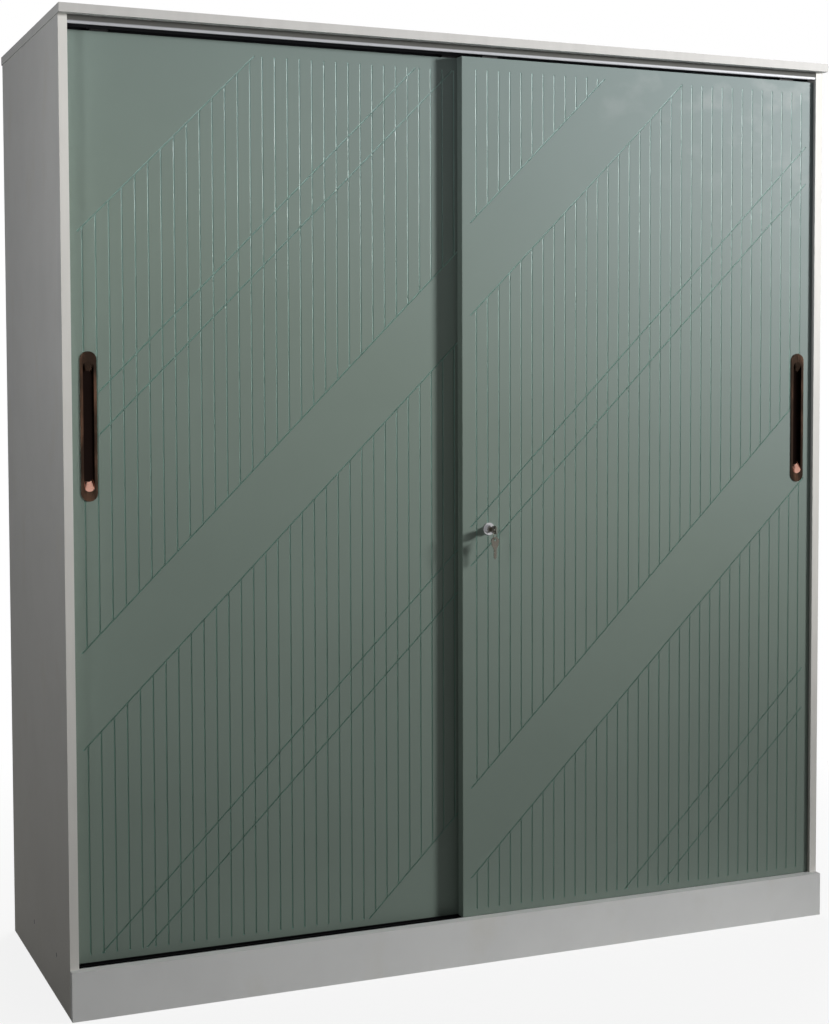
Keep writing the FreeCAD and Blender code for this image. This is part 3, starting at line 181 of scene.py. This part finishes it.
class Shader:
    """A new material with one Principled BSDF and short calls for the nodes that feed it."""

    def __init__(self, name, color, roughness, metallic=0.0, **sockets):
        self.material = bpy.data.materials.new(name)
        self.material.use_nodes = True
        self.material.diffuse_color = (*color, 1)
        self.tree = self.material.node_tree
        self.bsdf = self.tree.nodes["Principled BSDF"]
        self.bsdf.inputs["Base Color"].default_value = (*color, 1)
        self.bsdf.inputs["Roughness"].default_value = roughness
        self.bsdf.inputs["Metallic"].default_value = metallic
        for socket, value in sockets.items():
            self.bsdf.inputs[socket.replace("_", " ")].default_value = value
        self.place = self.node("ShaderNodeTexCoord").outputs["Object"]

    def node(self, kind, **values):
        """A new node. Each value goes to the input of its name, or else to the setting of that name."""
        made = self.tree.nodes.new(kind)
        for key, value in values.items():
            if key in made.inputs:
                made.inputs[key].default_value = value
            else:
                setattr(made, key, value)
        return made

    def link(self, source, target):
        self.tree.links.new(source, target)

    def height(self):
        parts = self.node("ShaderNodeSeparateXYZ")
        self.link(self.place, parts.inputs[0])
        return parts.outputs["Z"]

    def along(self, direction):
        """How far a point lies along a direction."""
        product = self.node("ShaderNodeVectorMath", operation="DOT_PRODUCT")
        self.link(self.place, product.inputs[0])
        product.inputs[1].default_value = direction
        return product.outputs["Value"]

    def noise(self, size, stretch=(1, 1, 1), detail=3.0):
        """Noise whose features are about size across, and longer along an axis whose stretch is below 1."""
        scaling = self.node("ShaderNodeMapping", Scale=stretch)
        self.link(self.place, scaling.inputs["Vector"])
        noise = self.node("ShaderNodeTexNoise", Scale=1 / size, Detail=detail)
        self.link(scaling.outputs["Vector"], noise.inputs["Vector"])
        return noise.outputs["Fac"]

    def ramp(self, factor, span, start=0.0, end=1.0):
        """start to end as factor goes over the span."""
        low, high = span
        ranged = self.node(
            "ShaderNodeMapRange", **{"From Min": low, "From Max": high, "To Min": start, "To Max": end}
        )
        self.link(factor, ranged.inputs["Value"])
        return ranged.outputs["Result"]

    def times(self, factor_a, factor_b):
        product = self.node("ShaderNodeMath", operation="MULTIPLY")
        self.link(factor_a, product.inputs[0])
        self.link(factor_b, product.inputs[1])
        return product.outputs["Value"]

    def mix(self, factor, color_a, color_b):
        """Two colours, or colour outputs, mixed by an output."""
        mixer = self.node("ShaderNodeMix", data_type="RGBA")
        self.link(factor, mixer.inputs["Factor"])
        for socket, color in (("A", color_a), ("B", color_b)):
            target = next(s for s in mixer.inputs if s.name == socket and s.type == "RGBA")
            if isinstance(color, tuple):
                target.default_value = (*color, 1)
            else:
                self.link(color, target)
        return next(s for s in mixer.outputs if s.type == "RGBA")

    def color(self, output):
        self.link(output, self.bsdf.inputs["Base Color"])

    def roughness(self, output):
        self.link(output, self.bsdf.inputs["Roughness"])

    def uneven_roughness(self, smooth, rough, size, stretch=(1, 1, 1), detail=3.0, span=(0.3, 0.7)):
        """Roughness that goes from smooth to rough over a span of noise."""
        self.roughness(self.ramp(self.noise(size, stretch, detail), span, smooth, rough))

    def relief(self, depth, strength, size, stretch=(1, 1, 1), detail=3.0):
        """Bumps of that depth, about size across."""
        bumped = self.node("ShaderNodeBump", Strength=strength, Distance=depth)
        self.link(self.noise(size, stretch, detail), bumped.inputs["Height"])
        self.link(bumped.outputs["Normal"], self.bsdf.inputs["Normal"])


def shade(color, factor):
    return tuple(min(1.0, c * factor) for c in color)


def melamine(name, color, foot_shading):
    """Faced chipboard: a fine pearl texture under a satin foil, with handling marks and painted shade that
    grows towards the floor.
    """
    s = Shader(name, color, roughness=0.55, Specular_IOR_Level=0.10)
    marks = s.ramp(s.noise(size=0.16, detail=6), (0.42, 0.72))
    clean = s.mix(marks, color, shade(color, 0.94))
    stain = tuple(c * left for c, left in zip(color, STAIN_LEAVES))
    spots = s.ramp(s.noise(size=0.10, stretch=(1, 1, 0.55), detail=7), (0.56, 0.76), end=0.4)
    spotted = s.mix(spots, clean, stain)
    # painted shade that grows towards the floor
    s.color(s.mix(s.ramp(s.height(), FOOT_SHADE_SPAN, start=foot_shading, end=0.0), spotted, FOOT_SHADE))
    s.uneven_roughness(smooth=0.56, rough=0.60, size=0.05, detail=5)
    s.relief(depth=0.00005, strength=0.5, size=0.0012, detail=2)
    return s.material


def edge_band(name, color):
    """Plastic edging, slightly uneven in tone."""
    s = Shader(name, color, roughness=0.50, Specular_IOR_Level=0.20)
    clouds = s.ramp(s.noise(size=0.03, stretch=(1, 1, 0.2), detail=4), (0.4, 0.75))
    s.color(s.mix(clouds, color, shade(color, 0.93)))
    s.relief(depth=0.00004, strength=0.4, size=0.004)
    return s.material


def satin_paint(name, color):
    """Sprayed paint: orange peel, slow changes of tone and gloss, and a painted sheen at the top, with smears
    lightened in it.
    """
    s = Shader(name, color, roughness=0.45, Specular_IOR_Level=0.25)
    cloud = s.ramp(s.noise(size=0.35, detail=4), (0.35, 0.7))
    painted = s.mix(cloud, shade(color, 1.03), shade(color, 0.95))
    # painted sheen that grows towards the top right, with real smears made lighter in it as painted sheen
    slope = s.along(SHEEN_DIRECTION)
    sheened = s.mix(s.ramp(slope, SHEEN_SPAN), painted, SAGE_SHEEN)
    wiped = s.ramp(s.noise(size=0.09, stretch=(1, 1, 1.4), detail=7), (0.52, 0.78))
    s.color(s.mix(s.times(wiped, s.ramp(slope, SMEAR_SHEEN_SPAN)), sheened, SMEAR_IN_SHEEN))
    s.uneven_roughness(smooth=0.43, rough=0.53, size=0.09, detail=6)
    s.relief(depth=0.00008, strength=0.35, size=0.0035, detail=2)
    return s.material


def groove_paint(name, color):
    """Teal lacquer on the walls of the routed lines, glossier than the door, uneven from the brush, with a
    painted highlight at the top.
    """
    s = Shader(name, color, roughness=0.36)
    pooled = s.ramp(s.noise(size=0.012, stretch=(1, 1, 0.35), detail=4), (0.38, 0.66))
    worn = s.mix(pooled, shade(color, 1.3), shade(color, 0.7))
    # painted highlight towards the top
    s.color(s.mix(s.ramp(s.height(), GROOVE_HIGHLIGHT_SPAN), worn, LACQUER_HIGHLIGHT))
    s.uneven_roughness(smooth=0.30, rough=0.44, size=0.006)
    s.relief(depth=0.0009, strength=1.0, size=0.0025, detail=2)
    return s.material


def pooled_lacquer(name, color):
    """The same lacquer where it lies thicker: rippled, with a painted highlight towards the top and painted
    shade towards the floor.
    """
    s = Shader(name, color, roughness=0.38, Specular_IOR_Level=0.6)
    z = s.height()
    # lower carries painted shade towards the floor, milky a painted highlight towards the top
    lower = s.mix(s.ramp(z, LACQUER_SHADE_SPAN), LACQUER_SHADE, color)
    milky = s.mix(s.ramp(z, LACQUER_HIGHLIGHT_SPAN), lower, LACQUER_HIGHLIGHT)
    pooled = s.ramp(s.noise(size=0.02, stretch=(1, 1, 0.35), detail=4), (0.42, 0.72), end=0.6)
    s.color(s.mix(pooled, milky, lower))
    s.uneven_roughness(smooth=0.32, rough=0.48, size=0.015, stretch=(1, 1, 0.5), span=(0.35, 0.65))
    s.relief(depth=0.0003, strength=0.8, size=0.006, stretch=(1, 1, 0.4), detail=2)
    return s.material


def copper(name):
    """Antique copper: dark, with brighter worn metal and fine brushing along the handle."""
    s = Shader(name, COPPER, roughness=0.24, metallic=1.0)
    worn = s.ramp(s.noise(size=0.02, stretch=(1, 1, 0.3), detail=5), (0.45, 0.75))
    s.color(s.mix(worn, COPPER_DARK, COPPER))
    s.uneven_roughness(smooth=0.18, rough=0.32, size=0.0015, stretch=(1, 1, 0.05), detail=4)
    s.relief(depth=0.00003, strength=0.4, size=0.0006, stretch=(1, 1, 0.03), detail=2)
    return s.material


def metal(name, color, roughness, grain=(1, 1, 1)):
    """Bare or plated metal with a fine grain."""
    s = Shader(name, color, roughness, metallic=1.0)
    clouds = s.ramp(s.noise(METAL_GRAIN * 12, stretch=grain, detail=4), (0.35, 0.7))
    s.color(s.mix(clouds, color, shade(color, 0.88)))
    s.uneven_roughness(roughness * 0.8, roughness * 1.25, size=METAL_GRAIN, stretch=grain, detail=4)
    s.relief(depth=0.00003, strength=0.35, size=METAL_GRAIN * 0.5, stretch=grain, detail=2)
    return s.material


def anodised(name, color):
    """Extruded aluminium under a milky anodised skin, fine lines along it, a painted highlight on its bead,
    painted shadow above it.
    """
    s = Shader(name, color, roughness=0.34, metallic=0.35)
    clouds = s.ramp(s.noise(size=0.02, stretch=(0.05, 1, 1), detail=4), (0.35, 0.7))
    patchy = s.mix(clouds, color, shade(color, 0.88))
    z = s.height()
    # painted highlight on the bead, and painted shadow of the top board above it
    bead = s.mix(s.ramp(z, BEAD_HIGHLIGHT_STARTS), patchy, BEAD_HIGHLIGHT)
    s.color(s.mix(s.ramp(z, BOARD_SHADOW_STARTS), bead, BOARD_SHADOW))
    s.roughness(s.ramp(z, BOARD_SHADOW_STARTS, start=0.34, end=0.80))
    s.relief(depth=0.00003, strength=0.4, size=0.0012, stretch=(0.01, 1, 1), detail=4)
    return s.material


def plastic(name, color, roughness):
    """Moulded plastic with a faint texture."""
    s = Shader(name, color, roughness)
    s.color(s.mix(s.ramp(s.noise(size=0.01), (0.4, 0.7)), color, shade(color, 0.93)))
    s.relief(depth=0.00004, strength=0.5, size=0.0008)
    return s.material


def wood(name, color):
    """Bare wood with its grain upright."""
    s = Shader(name, color, roughness=0.6)
    s.color(s.mix(s.noise(size=0.002, stretch=(1, 1, 0.08), detail=5), color, shade(color, 0.7)))
    s.relief(depth=0.00008, strength=0.5, size=0.0006, stretch=(1, 1, 0.05))
    return s.material


def chipboard(name):
    """The chips of a bare board edge."""
    s = Shader(name, RAW_BOARD, roughness=0.85)
    s.color(s.mix(s.noise(size=0.002, detail=5), shade(RAW_BOARD, 1.3), shade(RAW_BOARD, 0.55)))
    s.relief(depth=0.0002, strength=0.7, size=0.0015)
    return s.material


# ----------------------------------------------------------------------------------------------------------
# Finishes of the CAD nodes
# ----------------------------------------------------------------------------------------------------------

slot_finishes = {
    "white_melamine": melamine("white_melamine_finish", WHITE, foot_shading=0.0),
    "white_hardboard": melamine("white_hardboard_finish", shade(WHITE, 0.97), foot_shading=0.15),
    "sage_door": satin_paint("sage_satin_paint", SAGE),
    "beech": wood("beech_dowel", BEECH),
    "anodised_aluminium": anodised("satin_aluminium", ALUMINIUM),
    "black_aluminium": metal("black_aluminium_finish", BLACK, roughness=0.45, grain=ALONG_X),
    "antique_copper": copper("antique_copper_finish"),
    "chrome": metal("chrome_finish", CHROME, roughness=0.16),
    "nickel": metal("nickel_finish", NICKEL, roughness=0.28),
    "zinc_steel": metal("zinc_steel_finish", STEEL, roughness=0.38),
    "white_nylon": plastic("white_nylon_finish", WHITE_NYLON, roughness=0.45),
    "soft_plastic": plastic("soft_plastic_finish", RUBBER, roughness=0.35),
}
# Nodes whose names end like this have a finish of their own: the side panels with painted shade towards the
# floor, and the roller housings and guides painted dark as the shade they sit in.
special_finishes = {
    "_side_panel": melamine("foot_shaded_melamine_finish", WHITE, foot_shading=0.8),
    "_roller_housing": metal("zinc_in_shade", ZINC_IN_SHADE, roughness=0.45),
    "_guide": plastic("nylon_in_shade", NYLON_IN_SHADE, roughness=0.5),
    "carcass_screws": metal("dark_screw_zinc", SCREW_DARK, roughness=0.55),
}
for entry in frame["record"]["subparts"]:
    finish = slot_finishes[entry["material_slot"]]
    for ending, special in special_finishes.items():
        if entry["node"].endswith(ending):
            finish = special
    mesh = nodes[entry["node"]].data
    mesh.materials.clear()
    mesh.materials.append(finish)


def paint_faces(node, material, chosen):
    """Gives one node's faces a second material where chosen(face) holds."""
    mesh = nodes[node].data
    mesh.materials.append(material)
    index = len(mesh.materials) - 1
    for face in mesh.polygons:
        if chosen(face):
            face.material_index = index


def faces_front(face):
    return face.normal.y < -FACING


def faces_down(face):
    return face.normal.z < -FACING


def paint_grooves(door, material):
    """A groove's walls slope, and they lie in the door's front, inside its rounded edges."""
    low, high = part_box(door)
    steepest, gentlest = GROOVE_WALL

    def in_groove(face):
        x, y, z = face.center
        inside_x = low.x + DOOR_ROUNDING < x < high.x - DOOR_ROUNDING
        inside_z = low.z + DOOR_ROUNDING < z < high.z - DOOR_ROUNDING
        sloping = steepest < abs(face.normal.y) < gentlest
        return inside_x and inside_z and sloping and y < low.y + GROOVE_REACH

    paint_faces(door, material, in_groove)


def paint_handle(handle, recess_floor, ramp):
    """The recess's floor is painted dark as shade, and the slope at its lower end gets a painted glint."""
    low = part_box(handle)[0]

    def on_recess_floor(face):
        return face.center.y > low.y + RECESS_DEPTH and faces_front(face)

    def on_ramp(face):
        at_the_foot = low.z + RAMP_FOOT < face.center.z < low.z + RAMP_TOP
        return at_the_foot and face.normal.z > RAMP_UPWARDS and face.normal.y < -RAMP_FORWARDS

    paint_faces(handle, recess_floor, on_recess_floor)
    paint_faces(handle, ramp, on_ramp)


def paint_track(track, material):
    """Only the foremost fin of the top track keeps the bright finish; behind it the profile is painted dark
    as shade.
    """
    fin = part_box(track)[0].y + FIN_DEPTH
    paint_faces(track, material, lambda face: face.center.y > fin or face.normal.y > FIN_BACK)


BANDED_BOARDS = (
    "left_side_panel",
    "right_side_panel",
    "bottom_panel",
    "centre_partition",
    "left_lower_shelf",
    "left_second_shelf",
    "left_third_shelf",
    "left_upper_shelf",
    "right_hat_shelf",
    "right_shoe_shelf",
)

groove_walls = groove_paint("teal_groove_paint", TEAL)
for door in ("front_door_panel", "rear_door_panel"):
    paint_grooves(door, groove_walls)

# a painted glint and painted shade for the handles
painted_glint_copper = metal("painted_glint_copper", COPPER_GLINT, roughness=0.22)
painted_shade_copper = metal("painted_shade_copper", COPPER_SHADE, roughness=0.35)
for handle in ("front_door_handle", "rear_door_handle"):
    paint_handle(handle, painted_shade_copper, painted_glint_copper)

# the top track's inner faces are painted dark as shade
paint_track("top_track", metal("track_shade_aluminium", TRACK_SHADE, roughness=0.55, grain=ALONG_X))

cream = edge_band("cream_edge_band", CREAM)
for board in BANDED_BOARDS:
    paint_faces(board, cream, faces_front)
paint_faces("top_panel", edge_band("top_edge_band", TOP_BAND), faces_front)

bare = chipboard("bare_chipboard")
for board in ("left_side_panel", "right_side_panel"):
    paint_faces(board, bare, faces_down)

# ----------------------------------------------------------------------------------------------------------
# Added pieces: the lacquer in the grooves and a copy of the lock spring
# ----------------------------------------------------------------------------------------------------------


def ribbon_section(half_width, turn, count):
    """Points (across, inwards) of a shallow arc whose ends slope by turn, hollow towards the viewer."""
    radius = half_width / math.sin(math.radians(turn))
    points = []
    for i in range(count + 1):
        angle = math.radians(turn * (2 * i / count - 1))
        points.append((radius * math.sin(angle), radius * (math.cos(angle) - math.cos(math.radians(turn)))))
    return points


def groove_lines(door):
    """The start and end of each edge along the bottom of a groove."""
    mesh = nodes[door].data
    floor_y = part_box(door)[0].y + GROOVE_DEPTH
    for edge in mesh.edges:
        ends = [mesh.vertices[i].co for i in edge.vertices]
        on_floor = all(abs(end.y - floor_y) <= FLOOR_LINE_SLACK for end in ends)
        if on_floor and (ends[1] - ends[0]).length >= SHORTEST_LINE:
            yield ends


def add_lacquer(door, body, material):
    """The lacquer that has run together along the bottom of each groove: a hollow ribbon in its V."""
    made = bmesh.new()
    section = ribbon_section(RIBBON_HALF_WIDTH, RIBBON_TURN, RIBBON_STRIPS)
    for start, end in groove_lines(door):
        across = (end - start).normalized().cross(Vector((0, 1, 0)))
        rims = []
        for point in (start, end):
            rim = []
            for step, inwards in section:
                # The V's walls slope at 45 degrees, so the rims lie as far out as the half width.
                lift = Vector((0, inwards - RIBBON_HALF_WIDTH, 0))
                rim.append(made.verts.new(point + across * step + lift))
            rims.append(rim)
        for i in range(len(section) - 1):
            face = made.faces.new((rims[0][i], rims[0][i + 1], rims[1][i + 1], rims[1][i]))
            face.smooth = True
            face.normal_update()
            if face.normal.y > 0:
                face.normal_flip()
    data = bpy.data.meshes.new(f"{body}_groove_lacquer")
    made.to_mesh(data)
    made.free()
    data.materials.append(material)
    piece = bpy.data.objects.new(f"{body}_groove_lacquer", data)
    bpy.context.scene.collection.objects.link(piece)
    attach(piece, body)


def add_closing_spring():
    """A copy of the lock's spring, which rides with the front door in place of the CAD one."""
    coil = nodes["lock_spring"]
    piece = bpy.data.objects.new("compressing_lock_spring", coil.data.copy())
    piece.matrix_world = coil.matrix_world
    bpy.context.scene.collection.objects.link(piece)
    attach(piece, "front_door")
    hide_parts("lock_spring")
    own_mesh(piece)


lacquer = pooled_lacquer("teal_lacquer", LACQUER)
add_lacquer("front_door_panel", "front_door", lacquer)
add_lacquer("rear_door_panel", "rear_door", lacquer)
add_closing_spring()

# ----------------------------------------------------------------------------------------------------------
# Floor, light and camera
# ----------------------------------------------------------------------------------------------------------


def seen_directly(tree):
    """1 for a ray from the camera, off a gloss or through glass, 0 for the diffuse rays that carry light."""
    path = tree.nodes.new("ShaderNodeLightPath")
    total = path.outputs["Is Camera Ray"]
    for kind in ("Is Glossy Ray", "Is Transmission Ray"):
        larger = tree.nodes.new("ShaderNodeMath")
        larger.operation = "MAXIMUM"
        tree.links.new(total, larger.inputs[0])
        tree.links.new(path.outputs[kind], larger.inputs[1])
        total = larger.outputs["Value"]
    return total


def mix_shaders(s, factor, first, second):
    mixer = s.node("ShaderNodeMixShader")
    s.link(factor, mixer.inputs["Fac"])
    s.link(first, mixer.inputs[1])
    s.link(second, mixer.inputs[2])
    return mixer.outputs["Shader"]


def stage_floor():
    """A pale floor, seen as white with the cabinet's shadow on it, that throws little light back up."""
    bpy.ops.mesh.primitive_plane_add(size=FLOOR_SIZE, location=(0, 0, 0))
    floor = bpy.context.object
    floor.name = "studio_floor"
    s = Shader("studio_floor_paint", FLOOR_BOUNCE, roughness=0.9)
    matt = s.node("ShaderNodeBsdfDiffuse", Color=(*FLOOR_SEEN, 1))
    glow = s.node("ShaderNodeEmission", Color=(1, 1, 1, 1), Strength=1.0)
    distance = s.node("ShaderNodeVectorMath", operation="LENGTH")
    s.link(s.place, distance.inputs[0])
    glow_share = s.ramp(distance.outputs["Value"], SHADOWED, start=GLOW_NEAR)
    shown = mix_shaders(s, glow_share, matt.outputs["BSDF"], glow.outputs["Emission"])
    surface = mix_shaders(s, seen_directly(s.tree), s.bsdf.outputs["BSDF"], shown)
    s.link(surface, s.tree.nodes["Material Output"].inputs["Surface"])
    floor.data.materials.append(s.material)


def world_light(ambient):
    """White behind the cabinet for the camera and in reflections; elsewhere an even, weak light."""
    world = bpy.data.worlds.new("studio")
    bpy.context.scene.world = world
    world.use_nodes = True
    tree = world.node_tree
    background = tree.nodes["Background"]
    background.inputs["Color"].default_value = (1, 1, 1, 1)
    strength = tree.nodes.new("ShaderNodeMapRange")
    strength.inputs["To Min"].default_value = ambient
    strength.inputs["To Max"].default_value = 1.0
    tree.links.new(seen_directly(tree), strength.inputs["Value"])
    tree.links.new(strength.outputs["Result"], background.inputs["Strength"])


def area_lamp(name, place, target, size, spread, watts):
    """A round soft box of that size, whose light keeps within a cone of spread degrees."""
    data = bpy.data.lights.new(name, "AREA")
    data.shape = "DISK"
    data.size = size
    data.spread = math.radians(spread)
    data.energy = watts
    lamp = bpy.data.objects.new(name, data)
    bpy.context.scene.collection.objects.link(lamp)
    lamp.visible_camera = False
    lamp.location = place
    lamp.rotation_euler = (Vector(target) - Vector(place)).to_track_quat("-Z", "Y").to_euler()


def photo_camera():
    """The camera at the photograph's viewing angle."""
    data = bpy.data.cameras.new("camera")
    data.sensor_width = SENSOR
    data.lens = LENS
    data.shift_x, data.shift_y = CAMERA_SHIFT
    camera = bpy.data.objects.new("camera", data)
    bpy.context.scene.collection.objects.link(camera)
    camera.location = CAMERA_PLACE
    camera.rotation_euler = Euler([math.radians(angle) for angle in CAMERA_TURN])
    bpy.context.scene.camera = camera


stage_floor()
world_light(AMBIENT)
# Far to the right: it lights the doors most at their tops, and casts the front door's shadow on the rear one.
area_lamp("key_lamp", place=(4.38, -2.79, 2.42), target=(-0.25, -0.3, 2.02), size=0.8, spread=60, watts=47)
# Low on the same side and aimed downwards, for the doors' feet and the plinth.
area_lamp("low_lamp", place=(2.8, -1.81, 0.49), target=(-0.6, -0.3, -1.6), size=0.6, spread=53, watts=11.4)
# A weak one for the left side, which the key lamp doesn't reach.
area_lamp("left_lamp", place=(-2.83, -2.19, 1.86), target=(-0.5, -0.3, 1.89), size=0.5, spread=80, watts=4.2)
# These two light the back and the top, which the photograph doesn't show.
area_lamp("back_lamp", place=(1.8, 4.2, 2.8), target=(0, 0.2, 1.2), size=1.6, spread=120, watts=70)
area_lamp("top_lamp", place=(0.2, 1.1, 5.2), target=(0.05, 0.05, 2.0), size=0.8, spread=60, watts=8)
photo_camera()
bpy.context.scene.view_settings.view_transform = "Standard"
